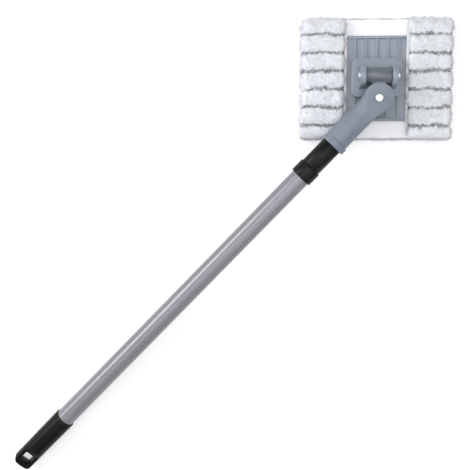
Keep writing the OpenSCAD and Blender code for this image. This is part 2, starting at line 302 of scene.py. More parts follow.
@dataclass(frozen=True)
class MicrofibrePile:
    """Tufted microfibre with rows of grey bristle: matt white, with grey where the stripe attribute is 1 and
    painted shade on the cloth under the strands.
    """

    name: str = "microfibre_pile"
    white: str = "eceef3"
    deep_tone_and_shade: str = "dee0e7"
    bristle: str = "6c6d75"
    bristle_light: str = "aeafb6"
    strand_mm: float = 1.2

    def material(self) -> Material:
        """Builds the pile's material from the mesh's stripe and tone attributes, and returns it."""
        material, tree, shader = new_tree(self.name)
        stripe = add(tree, "ShaderNodeAttribute", {"attribute_name": "stripe"})
        tone = add(tree, "ShaderNodeAttribute", {"attribute_name": "tone"})
        # strands of yarn differ at random in tone, which keeps the pile from looking like foam; the cloth
        # under the strands has a lower tone, a painted shade among the strands
        strand_look = {"Scale": per_metre(self.strand_mm), "Detail": 3.0}
        strands = add(tree, "ShaderNodeTexNoise", strand_look, Vector=object_space(tree))
        mixed = add(
            tree, "ShaderNodeMath", {"operation": "ADD"}, i0=strands.outputs["Fac"], i1=tone.outputs["Fac"],
        )
        half = add(tree, "ShaderNodeMath", {"operation": "MULTIPLY", 1: 0.5}, i0=mixed.outputs["Value"])
        # the dark end of this ramp is both the strands' random deep tone and the painted shade on the cloth
        # under the strands
        pile = ramp(tree, half.outputs["Value"], [(0.25, self.deep_tone_and_shade), (0.6, self.white)])
        grey = ramp(tree, strands.outputs["Fac"], [(0.35, self.bristle), (0.7, self.bristle_light)])
        colour = add(tree, "ShaderNodeMix", {"data_type": "RGBA"}, i0=stripe.outputs["Fac"], i6=pile, i7=grey)
        tree.links.new(colour.outputs[2], shader.inputs["Base Color"])
        height = strands.outputs["Fac"]
        bump = add(tree, "ShaderNodeBump", {"Strength": 0.3, "Distance": 0.6 * MM}, Height=height)
        tree.links.new(bump.outputs["Normal"], shader.inputs["Normal"])
        shader.inputs["Roughness"].default_value = 0.95
        shader.inputs["Sheen Weight"].default_value = 0.25
        shader.inputs["Sheen Roughness"].default_value = 0.5
        shader.inputs["Specular IOR Level"].default_value = 0.15
        return material


@dataclass(frozen=True)
class WovenCloth:
    """Plain woven polyester: threads over and under, matt white, with painted shade between the threads."""

    name: str
    colour: str
    dark: str
    thread_mm: float = 1.5

    def material(self) -> Material:
        """Builds the cloth's material, and returns it."""
        material, tree, shader = new_tree(self.name)
        where = object_space(tree)
        # threads are 0.4 mm apart in life and drawn at thread_mm so that they show; a wave repeats every
        # tau / (20 * scale) of its space
        waves = [
            add(
                tree, "ShaderNodeTexWave",
                {"bands_direction": way, "Scale": per_metre(self.thread_mm) * math.tau / WAVE_STEPS,
                 "Distortion": 0.6, "Detail": 2.0, "Detail Scale": 2.0},
                Vector=where,
            )
            for way in ("X", "Y")
        ]
        weave = add(
            tree, "ShaderNodeMath", {"operation": "MULTIPLY"},
            i0=waves[0].outputs["Fac"], i1=waves[1].outputs["Fac"],
        )
        # the dark colour where the weave is low is painted shade in the grooves between the threads
        tone = ramp(tree, weave.outputs["Value"], [(0.0, self.dark), (0.6, self.colour)])
        tree.links.new(tone, shader.inputs["Base Color"])
        height = weave.outputs["Value"]
        bump = add(tree, "ShaderNodeBump", {"Strength": 0.4, "Distance": 0.4 * MM}, Height=height)
        tree.links.new(bump.outputs["Normal"], shader.inputs["Normal"])
        shader.inputs["Roughness"].default_value = 0.9
        shader.inputs["Sheen Weight"].default_value = 0.2
        return material


# Mesh helpers ------------------------------------------------------------


def make_object(name: str, points: Array, triangles: Array, finish: Material, smooth: bool = True,
                **attributes: Array) -> bpy.types.Object:
    """Puts arrays of points and triangles into a mesh object at the origin.

    Args:
        name: The piece's name.
        points: Points in metres, one row each.
        triangles: Point numbers, three to a row.
        finish: The piece's material.
        smooth: Whether the faces are shaded smooth.
        **attributes: Per-point values, by attribute name.

    Returns:
        The new object.
    """
    mesh = bpy.data.meshes.new(name)
    mesh.vertices.add(len(points))
    mesh.vertices.foreach_set("co", points.astype(np.float32).ravel())
    mesh.loops.add(triangles.size)
    mesh.loops.foreach_set("vertex_index", triangles.astype(np.int32).ravel())
    mesh.polygons.add(len(triangles))
    mesh.polygons.foreach_set("loop_start", np.arange(0, triangles.size, 3, dtype=np.int32))
    mesh.polygons.foreach_set("use_smooth", np.full(len(triangles), smooth))
    mesh.update(calc_edges=True)
    for key, values in attributes.items():
        attribute = mesh.attributes.new(key, "FLOAT", "POINT")
        attribute.data.foreach_set("value", values.astype(np.float32))
    mesh.materials.append(finish)
    obj = bpy.data.objects.new(name, mesh)
    bpy.context.scene.collection.objects.link(obj)
    return obj


def lattice_noise(points: Array, size: float, seed: int) -> Array:
    """Smooth noise from -1 to 1: random values on a cubic lattice, blended with smooth steps.

    Args:
        points: Points, one row each.
        size: The lattice's spacing, in the points' units.
        seed: Picks the lattice's values.

    Returns:
        One value for each point.
    """
    scaled = points / size
    cell = np.floor(scaled).astype(np.int64)
    part = scaled - cell
    part = part * part * (3 - 2 * part)
    total = np.zeros(len(points))
    for corner in range(8):
        bits = np.array([corner & 1, corner >> 1 & 1, corner >> 2 & 1])
        key = ((cell + bits) * np.array([73856093, 19349663, 83492791])).sum(1) + seed * 2654435761
        key = (key ^ (key >> 13)) * 1274126177 & 0xFFFFFFFF
        value = ((key ^ (key >> 16)) & 0xFFFF) / 32767.5 - 1
        total += value * np.where(bits, part, 1 - part).prod(1)
    return total


def grid_triangles(rows: int, columns: int, numbers: Array) -> Array:
    """Splits a grid of point numbers into triangles.

    Args:
        rows: Rows of the grid.
        columns: Columns of the grid.
        numbers: The point number at each grid place.

    Returns:
        Triangles that face +Z when rows run along Y and columns along X.
    """
    grid = numbers.reshape(rows, columns)
    a, b, c, d = grid[:-1, :-1], grid[:-1, 1:], grid[1:, 1:], grid[1:, :-1]
    return np.concatenate([np.stack([a, b, c], -1).reshape(-1, 3), np.stack([a, c, d], -1).reshape(-1, 3)])


def rounded_square(count: int) -> tuple[Array, Array]:
    """Gives the places of points round a superellipse of order 4.

    Args:
        count: How many points there are.

    Returns:
        The points' two coordinates, from -1 to 1.
    """
    angle = np.arange(count) * math.tau / count
    across, up = np.cos(angle), np.sin(angle)
    return np.sign(across) * np.sqrt(np.abs(across)), np.sign(up) * np.sqrt(np.abs(up))


def capped_tube(rings: int, around: int) -> Array:
    """Joins rings of points into a closed tube whose ends are fans, each round a point of its own.

    Args:
        rings: How many rings there are.
        around: Points in a ring. The two end points follow the last ring.

    Returns:
        Triangles.
    """
    wrap = np.arange(rings * around).reshape(rings, around)
    body = grid_triangles(rings, around + 1, np.concatenate([wrap, wrap[:, :1]], 1))
    here = np.arange(around)
    after = np.roll(here, -1)
    first = np.stack([np.full(around, rings * around), after, here], -1)
    last = np.stack([np.full(around, rings * around + 1), here, after], -1)
    last[:, 1:] += (rings - 1) * around
    return np.concatenate([body, first, last])


def joint(name: str) -> dict:
    """Gives the frame's entry for a joint."""
    return next(entry for entry in frame["joints"] if entry["name"] == name)


def node_box(node: str) -> tuple[Array, Array]:
    """Gives a CAD node's lowest and highest corners, in millimetres."""
    low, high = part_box(node)
    return np.array(low) / MM, np.array(high) / MM


def face_outwards(obj: bpy.types.Object) -> None:
    """Turns a closed mesh's faces so that they all point outwards.

    Args:
        obj: The closed mesh's object.
    """
    work = bmesh.new()
    work.from_mesh(obj.data)
    bmesh.ops.recalc_face_normals(work, faces=work.faces)
    work.to_mesh(obj.data)
    work.free()


def dress(node: str, finish: Material) -> None:
    """Gives a CAD node a finish in place of its plain one.

    Args:
        node: The CAD node's name.
        finish: The material that it gets.
    """
    for place in frame["nodes"][node].material_slots:
        place.link = "OBJECT"
        place.material = finish


def smooth_copy(node: str, finish: Material, bevel_mm: float) -> None:
    """Copies a CAD node, merges its points and rounds its edges, and lets the copy stand for the node.

    Args:
        node: The CAD node's name.
        finish: The piece's material.
        bevel_mm: Width of the rounding, in millimetres.
    """
    source = frame["nodes"][node]
    mesh = source.data.copy()
    work = bmesh.new()
    work.from_mesh(mesh)
    bmesh.ops.remove_doubles(work, verts=work.verts, dist=SAME_PLACE)
    bmesh.ops.dissolve_limit(work, angle_limit=FLAT_ANGLE, verts=work.verts, edges=work.edges)
    work.to_mesh(mesh)
    work.free()
    mesh.materials.clear()
    mesh.materials.append(finish)
    mesh.polygons.foreach_set("use_smooth", np.full(len(mesh.polygons), True))
    obj = bpy.data.objects.new(f"{node}_shell", mesh)
    bpy.context.scene.collection.objects.link(obj)
    bevel = obj.modifiers.new("edge rounding", "BEVEL")
    bevel.width = bevel_mm * MM
    bevel.segments = 2
    bevel.limit_method = "ANGLE"
    bevel.angle_limit = SHARP_ANGLE
    bevel.use_clamp_overlap = True
    bevel.harden_normals = True
    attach(obj, source["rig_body"])
    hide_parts(node)


# Pad ---------------------------------------------------------------------


@dataclass(frozen=True)
class SlabForm:
    """What a soft-edged slab is made from, in millimetres.

    Under, if given, is the part that the underside clears: its low and high X, low and high Y, and its top.
    """

    low: Array
    high: Array
    edge: float
    counts: tuple[int, int]
    dip: float
    seed: int
    lumpiness: float = 0.0
    under: tuple[float, ...] | None = None


@dataclass(frozen=True)
class Strand:
    """A strand of yarn: a three-sided spike that bends once, at its knee. Sizes are shares of its length."""

    bend: float = 0.25
    knee: float = 0.55
    knee_shift: float = 0.35
    knee_girth: float = 0.8
    sunk_mm: float = 0.8
    points: int = 7

    def grow(self, roots: Array, aims: Array, length: Array, radius: Array, rng: np.random.Generator
             ) -> tuple[Array, Array]:
        """Makes many strands: a ring of three points at the root, another at the knee, and the tip.

        Args:
            roots: Points where the strands leave the cloth.
            aims: Unit directions.
            length: Length of each.
            radius: Thickness of each at its root.
            rng: Source of the bends.

        Returns:
            Points and triangles.
        """
        count = len(roots)
        helper = np.where(np.abs(aims[:, 2:3]) < NEARLY_ALONG, [[0.0, 0.0, 1.0]], [[1.0, 0.0, 0.0]])
        across = np.cross(aims, helper)
        across /= np.linalg.norm(across, axis=1, keepdims=True)
        other = np.cross(aims, across)
        bend = rng.normal(0, self.bend, (count, 2)) * length[:, None]
        shift = across * bend[:, :1] + other * bend[:, 1:]
        angles = np.arange(3)[None, :, None] * math.tau / 3
        circle = across[:, None, :] * np.cos(angles) + other[:, None, :] * np.sin(angles)
        root_ring = roots[:, None, :] - aims[:, None, :] * self.sunk_mm + circle * radius[:, None, None]
        knees = roots + aims * length[:, None] * self.knee + shift * self.knee_shift
        knee_ring = knees[:, None, :] + circle * radius[:, None, None] * self.knee_girth
        tips = (roots + aims * length[:, None] + shift)[:, None, :]
        points = np.concatenate([root_ring, knee_ring, tips], 1).reshape(-1, 3)
        faces = [[0, 2, 1]]
        for i, j in ((0, 1), (1, 2), (2, 0)):
            faces += [[i, j, 3 + j], [i, 3 + j, 3 + i], [3 + i, 3 + j, 6]]
        triangles = (np.arange(count)[:, None, None] * self.points + np.array(faces)[None]).reshape(-1, 3)
        return points, triangles


@dataclass
class TuftedPad:
    """The mop's pad: a pile slab, a woven backing and two pockets that take the plate's ends.

    Sizes are in millimetres, and a pair of noise values is a lattice's spacing and its reach.
    """

    stripe_pitch: float = 20.0
    first_stripe: float = 48.0
    stripe_count: int = 6
    stripe_half: float = 2.3
    stripe_wander: tuple[tuple[float, float], ...] = ((11.0, 1.6), (3.0, 1.2))
    stripe_fullness: tuple[float, float] = (8.0, 0.75)
    stripe_fray: tuple[float, float] = (0.15, 1.1)
    ground_stripe: float = 0.55
    row_dip: float = 2.2
    row_power: float = 0.55
    edge_wave: float = 1.3
    rim_power: int = 6
    rim_share: float = 0.9
    rim_waver: tuple[float, float] = (8.0, 0.8)
    lumps: tuple[tuple[float, float], ...] = ((14.0, 0.9), (6.0, 0.55), (2.5, 0.35))
    plan_order: int = 30
    least_thickness: float = 0.4
    end_inset: float = 2.4
    side_inset: float = 1.5
    pile_edge: float = 5.2
    pile_dip: float = 0.2
    pile_over: float = 1.0
    pile_ceiling: float = 1.2
    fringe: float = 7.0
    pocket_inset: float = 0.5
    pocket_edge: float = 4.5
    pocket_drop: float = 0.6
    mouth_bare: float = 2.0
    strand: Strand = Strand()
    tuft_gap: float = 0.9
    tuft_length: float = 3.0
    tuft_radius: float = 0.48
    bristle_radius: float = 0.42
    tuft_spread: float = 0.42
    fibre_lean: float = 0.35
    stray_share: float = 0.3
    stray_lean: float = 1.6
    stray_growth: float = 1.35
    beside_reach: float = 1.3
    beside_growth: float = 0.45
    pressure: float = 4.0
    swell_frames: int = 20
    swell_cap: float = 1.8
    seam_half: float = 2.2
    cloth_seed: int = 7
    backing_cut: tuple[float, float] = (0.166, 0.131)
    tape_width: float = 3.2
    tape_sway: tuple[float, float] = (15.0, 0.35)
    stitch_pitch: float = 2.8
    stitch_half: tuple[float, float] = (0.35, 0.9)
    stitch_margin: float = 2.0

    def stripe_lines(self, x: Array) -> Array:
        """Gives each stripe's wandering Y at the places x, one row a stripe.

        A stripe is its straight line plus lattice noise in two sizes, so it wanders and frays.

        Args:
            x: Places along X, in millimetres.

        Returns:
            Y for each stripe and place, in millimetres.
        """
        lines = self.first_stripe - self.stripe_pitch * np.arange(self.stripe_count)[:, None]
        spots = np.stack(np.broadcast_arrays(x[None, :], lines, 0 * x[None, :]), -1).reshape(-1, 3)
        for number, (size, reach) in enumerate(self.stripe_wander):
            noise = lattice_noise(spots, size, self.cloth_seed + number)
            lines = lines + reach * noise.reshape(self.stripe_count, -1)
        return lines

    def nearest_stripe(self, points: Array) -> Array:
        """Gives each point's distance from the nearest stripe, across the stripe, in millimetres."""
        lines = self.stripe_lines(points[:, 0])
        return np.abs(points[None, :, 1] - lines).min(0)

    def seam_gap(self, y: Array) -> Array:
        """Gives the distance of each Y from the straight line of the nearest seam, in millimetres."""
        lines = self.first_stripe - self.stripe_pitch * np.arange(self.stripe_count)
        return np.abs(y[None, :] - lines[:, None]).min(0)

    def crown(self, y: Array) -> Array:
        """Gives a row's height share, a root of a sine: 0 in a stripe's valley and 1 on the row's middle."""
        phase = (y - self.first_stripe) / self.stripe_pitch
        return np.abs(np.sin(math.pi * phase)) ** self.row_power

    def slab(self, form: SlabForm) -> tuple[Array, Array, int]:
        """Makes a closed, soft-edged slab as a top grid and an underside grid that share their border.

        The plan is a superellipse of high order, the edge is a quarter circle, the top dips in each stripe's
        valley, and lattice noise in three sizes makes its top lumpy by the form's share.

        Args:
            form: The slab's box, edge, grid, valleys and lumps.

        Returns:
            Points in millimetres, triangles, and how many of the points belong to the top.
        """
        rows, columns = form.counts
        p, q = np.meshgrid(np.sin(np.linspace(-1, 1, columns) * math.pi / 2),
                           np.sin(np.linspace(-1, 1, rows) * math.pi / 2))
        outward = np.maximum(np.abs(p), np.abs(q))
        reach = (np.abs(p) ** self.plan_order + np.abs(q) ** self.plan_order) ** (1 / self.plan_order)
        pull = outward / np.maximum(reach, TINY)
        half = (form.high - form.low)[:2] / 2
        middle = (form.high + form.low) / 2
        x, y = p * pull * half[0] + middle[0], q * pull * half[1] + middle[1]
        rise = np.sqrt(1 - (1 - np.clip(half.min() * (1 - outward) / form.edge, 0, 1)) ** 2)
        crown = self.crown(y)
        near_rim = outward ** self.rim_power
        at_end, at_side = np.abs(p) > self.rim_share, np.abs(q) > self.rim_share
        x += np.sign(p) * (crown - 0.5) * 2 * self.edge_wave * near_rim * at_end
        top_z = middle[2] + (form.high[2] - middle[2]) * rise - form.dip * (1 - crown) * rise
        base_z = middle[2] - (middle[2] - form.low[2]) * rise
        if form.under is not None:
            left, right, front, back, ceiling = form.under
            inside = np.minimum.reduce([x - left, right - x, y - front, back - y])
            base_z = np.maximum(base_z, form.low[2] + (ceiling - form.low[2]) * np.clip(inside + 1, 0, 1))
            base_z = np.minimum(base_z, top_z - self.least_thickness)
        top = np.stack([x, y, top_z], -1).reshape(-1, 3)
        base = np.stack([x, y, base_z], -1).reshape(-1, 3)
        lumps = sum(depth * lattice_noise(top, size, form.seed + number)
                    for number, (size, depth) in enumerate(self.lumps))
        top[:, 2] += form.lumpiness * lumps * rise.ravel()
        size, waver = self.rim_waver
        side = lattice_noise(top * [1, 1, 0] + [0, 0, 5], size, form.seed + 3) * waver * near_rim.ravel()
        top[:, 0] += side * (np.sign(p) * at_end).ravel()
        top[:, 1] += side * (np.sign(q) * at_side).ravel()
        base[:, :2] = top[:, :2]
        border = np.zeros((rows, columns), bool)
        border[[0, -1], :] = True
        border[:, [0, -1]] = True
        border = border.ravel()
        numbers = np.arange(rows * columns)
        under_numbers = numbers.copy()
        under_numbers[~border] = rows * columns + np.arange((~border).sum())
        triangles = np.concatenate([grid_triangles(rows, columns, numbers),
                                    grid_triangles(rows, columns, under_numbers)[:, ::-1]])
        return np.concatenate([top, base[~border]]), triangles, rows * columns

    def swell(self, form: SlabForm, inset: float) -> Array:
        """Puffs a coarse slab with the cloth solver, and gives how far the fine grid's top points move.

        The underside, the rim and the stripes' seams are held, the rest is blown up by pressure with gravity
        off, and no point may go further than the cap. A fine point takes the mean of the coarse points around
        it, weighted by nearness along the rows and the columns of the grid.

        Args:
            form: The fine slab.
            inset: Only points this near the rim may move, or all for a large value.

        Returns:
            Moves of the fine top points, in millimetres.
        """
        rows, columns = form.counts
        few = (max(rows // 2, 3), max(columns // 2, 3))
        points, triangles, top_count = self.slab(replace(form, counts=few, lumpiness=0.0))
        obj = make_object("swelling", points * MM, triangles, bpy.data.materials.new("plain"))
        inner = np.minimum.reduce([points[:, 0] - form.low[0], form.high[0] - points[:, 0],
                                   points[:, 1] - form.low[1], form.high[1] - points[:, 1]])
        held = (np.arange(len(points)) >= top_count) | (inner < 0.5) | (inner > inset)
        held |= self.seam_gap(points[:, 1]) < self.seam_half
        group = obj.vertex_groups.new(name="held")
        group.add(np.flatnonzero(held).tolist(), 1.0, "REPLACE")
        cloth = obj.modifiers.new("swelling", "CLOTH")
        for key, value in CLOTH_BODY.items():
            setattr(cloth.settings, key, value)
        cloth.settings.vertex_group_mass = "held"
        cloth.settings.use_pressure = True
        cloth.settings.uniform_pressure_force = self.pressure
        cloth.settings.effector_weights.gravity = 0
        cloth.point_cache.frame_end = self.swell_frames
        for frame_number in range(1, self.swell_frames + 1):
            bpy.context.scene.frame_set(frame_number)
        shaped = obj.evaluated_get(bpy.context.evaluated_depsgraph_get()).data
        moved = np.empty(len(points) * 3, np.float32)
        shaped.vertices.foreach_get("co", moved)
        moves = (moved.reshape(-1, 3) / MM - points)[:top_count]
        bpy.context.scene.frame_set(1)
        bpy.data.objects.remove(obj)
        reach = np.linalg.norm(moves, axis=1, keepdims=True)
        moves *= np.minimum(1, self.swell_cap / np.maximum(reach, TINY))
        LOG.info("swelling moved the cloth by up to %.1f mm", min(float(reach.max()), self.swell_cap))
        moves = moves.reshape(*few, 3)
        for axis, count in enumerate(form.counts):
            place = np.linspace(0, moves.shape[axis] - 1, count)
            before = np.minimum(place.astype(int), moves.shape[axis] - 2)
            share = (place - before).reshape((-1, 1, 1) if axis == 0 else (1, -1, 1))
            moves = np.take(moves, before, axis) * (1 - share) + np.take(moves, before + 1, axis) * share
        return moves.reshape(-1, 3)

    def furnish(self, name: str, points: Array, triangles: Array, keep: Array, finish: Material,
                floor: float, seed: int) -> bpy.types.Object:
        """Sows strands over a slab and joins them to it.

        Args:
            name: The piece's name.
            points: The slab's points, in millimetres.
            triangles: The slab's triangles.
            keep: Which triangles get strands.
            finish: The pile's material.
            floor: No strand goes below this height.
            seed: Picks the strands.

        Returns:
            The finished piece.
        """
        rng = np.random.default_rng(seed)
        corner = points[triangles]
        normal = np.cross(corner[:, 1] - corner[:, 0], corner[:, 2] - corner[:, 0])
        area = np.linalg.norm(normal, axis=1) / 2
        weight = np.where(keep, area, 0)
        count = int(weight.sum() / self.tuft_gap ** 2)
        picks = rng.choice(len(triangles), count, p=weight / weight.sum())
        mix = rng.dirichlet((1, 1, 1), count)
        roots = (corner[picks] * mix[:, :, None]).sum(1)
        upright = normal[picks] / np.maximum(2 * area[picks, None], TINY)
        valley = self.nearest_stripe(roots)
        # a stripe's width swings along it, and each row has its own line of the noise
        row = np.round((self.first_stripe - roots[:, 1:2]) / self.stripe_pitch)
        size, swing = self.stripe_fullness
        places = np.concatenate([roots[:, :1], row * 40, 0 * row], 1)
        fullness = 1 + swing * lattice_noise(places, size, seed + 5)
        bristle = valley < self.stripe_half * fullness * rng.uniform(*self.stripe_fray, count)
        aims = upright + rng.normal(0, self.tuft_spread, (count, 3))
        # stray bristles lie over to one side of the stripe and make its ticks
        stray = bristle & (rng.uniform(0, 1, count) < self.stray_share)
        aims[:, 1] += np.where(stray, rng.choice([-self.stray_lean, self.stray_lean], count), 0)
        aims /= np.linalg.norm(aims, axis=1, keepdims=True)
        length = self.tuft_length * rng.uniform(0.6, 1.15, count) * np.where(stray, self.stray_growth, 1.0)
        radius = np.where(bristle, self.bristle_radius, self.tuft_radius) * rng.uniform(0.7, 1.2, count)
        # white strands beside a stripe are short, so that they don't cover it
        beside = (valley < self.beside_reach * self.stripe_half) & ~bristle
        length *= np.where(bristle, 0.95, np.where(beside, self.beside_growth, 1.0))
        extra, faces = self.strand.grow(roots, aims, length, radius, rng)
        extra[:, 2] = np.maximum(extra[:, 2], floor)
        all_points = np.concatenate([points, extra])
        all_faces = np.concatenate([triangles, faces + len(points)])
        each = self.strand.points
        ground = self.ground_stripe * np.clip(1.3 - self.nearest_stripe(points) / self.stripe_half, 0, 1)
        stripe = np.concatenate([ground, np.repeat(bristle.astype(float), each)])
        # the cloth under the strands gets a fixed low tone, painted shade where the strands shade it; each
        # strand's tone is random
        tone = np.concatenate([np.full(len(points), 0.35), np.repeat(rng.uniform(0.2, 1, count), each)])
        obj = make_object(name, all_points * MM, all_faces, finish, stripe=stripe, tone=tone)
        # strands shade like the cloth under them, as fibres do that scatter light among themselves
        shading = np.empty(len(all_points) * 3, np.float32)
        obj.data.vertices.foreach_get("normal", shading)
        shading = shading.reshape(-1, 3)
        lean = self.fibre_lean * aims + (1 - self.fibre_lean) * upright
        shading[len(points):] = np.repeat(lean / np.linalg.norm(lean, axis=1, keepdims=True), each, axis=0)
        obj.data.normals_split_custom_set_from_vertices(shading)
        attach(obj, "head")
        LOG.info("%s with %d faces", name, len(obj.data.polygons))
        return obj

    def build(self, pile: Material, cloth: Material, tape: Material) -> None:
        """Builds every piece of the pad.

        Args:
            pile: The pile's material.
            cloth: The backing's material.
            tape: The hem tape's material.
        """
        low, high = node_box("pad_pile")
        end, side = self.end_inset, self.side_inset
        form = SlabForm(low + [end, side, 0], high - [end, side, -self.pile_over], self.pile_edge, (116, 136),
                        self.pile_dip, seed=11)
        points, triangles, top_count = self.slab(form)
        points[:top_count] += self.swell(form, self.fringe)
        points[:, 2] = np.clip(points[:, 2], 0, high[2] + self.pile_ceiling)
        centre = points[triangles].mean(1)
        rim = (np.abs(centre[:, 0]) > high[0] - self.fringe) | (np.abs(centre[:, 1]) > high[1] - self.fringe)
        slab = self.furnish("pile_slab", points, triangles, rim & (centre[:, 2] > 0.5), pile, 0.0, 21)
        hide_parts("pad_pile", "pad_wadding")
        for side in Side:
            self.pocket(side, pile)
        backing = self.backing(cloth)
        hems = [self.hem(side, tape) for side in Side]

    def pocket(self, side: Side, pile: Material) -> None:
        """Builds one pocket with its pile, open underneath for the plate's end.

        Args:
            side: Which end of the pad.
            pile: The pile's material.
        """
        node = f"pocket_{side.name.lower()}"
        low, high = node_box(node)
        plate_low, plate_high = node_box("base_plate")
        ceiling = node_box("pocket_hems")[0][2]
        under = (plate_low[0] - 1, plate_high[0] + 1, plate_low[1] - 1, plate_high[1] + 1, ceiling)
        near, far = self.pocket_inset, self.end_inset
        if side is Side.LEFT:
            near, far = far, near
        form = SlabForm(low + [near, self.pocket_inset, 0], high - [far, self.pocket_inset, self.pocket_drop],
                        self.pocket_edge, (110, 52), self.row_dip, 31 + side.value, 1.0, under)
        points, triangles, top_count = self.slab(form)
        points[:top_count] += self.swell(form, math.inf)
        upper = (triangles < top_count).all(1)
        mouth = low[0] if side is Side.RIGHT else high[0]
        centre = points[triangles].mean(1)
        bare = (np.abs(centre[:, 0] - mouth) < self.mouth_bare) & (centre[:, 2] < (low[2] + high[2]) / 2)
        obj = self.furnish(f"pocket_pile_{side.name.lower()}", points, triangles, upper & ~bare, pile,
                           low[2] - 2, form.seed + 20)
        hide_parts(node)

    def backing(self, cloth: Material) -> bpy.types.Object:
        """Builds the woven backing as a thin slab with a rounded edge.

        Args:
            cloth: The backing's material.

        Returns:
            The backing.
        """
        low, high = node_box("pad_backing")
        points, triangles, _ = self.slab(SlabForm(low, high, 0.6, (90, 110), 0.0, seed=91))
        obj = make_object("backing_cloth", points * MM, triangles, cloth)
        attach(obj, "head")
        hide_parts("pad_backing")
        LOG.info("backing with %d faces", len(obj.data.polygons))
        return obj

    def hem(self, side: Side, tape: Material) -> bpy.types.Object:
        """Builds a pocket's hem tape as a closed strip with rounded sides and a row of stitches.

        The strip is a rounded rectangle (a superellipse of order 4) carried along Y, and its middle sways
        with lattice noise.

        Args:
            side: Which pocket.
            tape: The tape's material.

        Returns:
            The strip.
        """
        low, high = node_box("pocket_hems")
        steps, ring = 90, 16
        middle = side.value * (high[0] - self.tape_width / 2)
        along = np.linspace(low[1], high[1], steps)
        spots = np.stack([np.full(steps, middle), along, np.zeros(steps)], -1)
        size, sway = self.tape_sway
        across, up = rounded_square(ring)
        x = middle + sway * lattice_noise(spots, size, 61)[:, None] + across * self.tape_width / 2
        z = (low[2] + high[2]) / 2 + up * (high[2] - low[2]) / 2 + 0 * x
        points = np.stack([x, np.broadcast_to(along[:, None], x.shape), z], -1)
        caps = points[[0, -1]].mean(1)
        margin = self.stitch_margin
        seams, faces = self.stitches(middle, low[1] + margin, high[1] - margin, high[2])
        points = np.concatenate([points.reshape(-1, 3), caps])
        shell = capped_tube(steps, ring)[:, ::-1]
        obj = make_object(f"hem_{side.name.lower()}", np.concatenate([points, seams]) * MM,
                          np.concatenate([shell, faces + len(points)]), tape)
        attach(obj, "head")
        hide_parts("pocket_hems")
        LOG.info("%s hem with %d faces", side.name.lower(), len(obj.data.polygons))
        return obj

    def stitches(self, x: float, start: float, end: float, top: float) -> tuple[Array, Array]:
        """Makes a row of stitches along Y: each is a stretched ball, half sunk in the tape's top.

        Args:
            x: Place of the row across the tape.
            start: Y of the first stitch.
            end: Y of the last stitch.
            top: Height of the tape's top.

        Returns:
            Points and triangles.
        """
        places = np.arange(start, end, self.stitch_pitch)
        around, rings = 6, 4
        girth, length = self.stitch_half
        polar = np.linspace(0, math.pi, rings + 2)[1:-1, None]
        turn = np.arange(around)[None, :] * math.tau / around
        ball = np.stack([np.sin(polar) * np.cos(turn) * girth, np.cos(polar) * length + 0 * turn,
                         np.sin(polar) * np.sin(turn) * girth], -1).reshape(-1, 3)
        ball = np.concatenate([ball, [[0, length, 0], [0, -length, 0]]])
        spots = np.stack([np.full(len(places), x), places, np.full(len(places), top)], -1)
        points = ball[None] + spots[:, None]
        faces = np.arange(len(places))[:, None, None] * len(ball) + capped_tube(rings, around)[None]
        return points.reshape(-1, 3), faces.reshape(-1, 3)


# Hard parts --------------------------------------------------------------


@dataclass
class Head:
    """The plate, its pins and the knuckle."""

    plate_round: float = 0.6
    knuckle_round: float = 0.8

    def build(self, plate: Material, knuckle: Material, steel: Material) -> None:
        """Dresses the plate, the knuckle and the pins.

        Args:
            plate: The plate's material.
            knuckle: The knuckle's material.
            steel: The pins' and washers' material.
        """
        smooth_copy("base_plate", plate, self.plate_round)
        smooth_copy("knuckle", knuckle, self.knuckle_round)
        for node in ("tilt_pin", "tilt_pin_washer", "swivel_pin", "swivel_pin_washer"):
            dress(node, steel)
        LOG.info("head dressed")


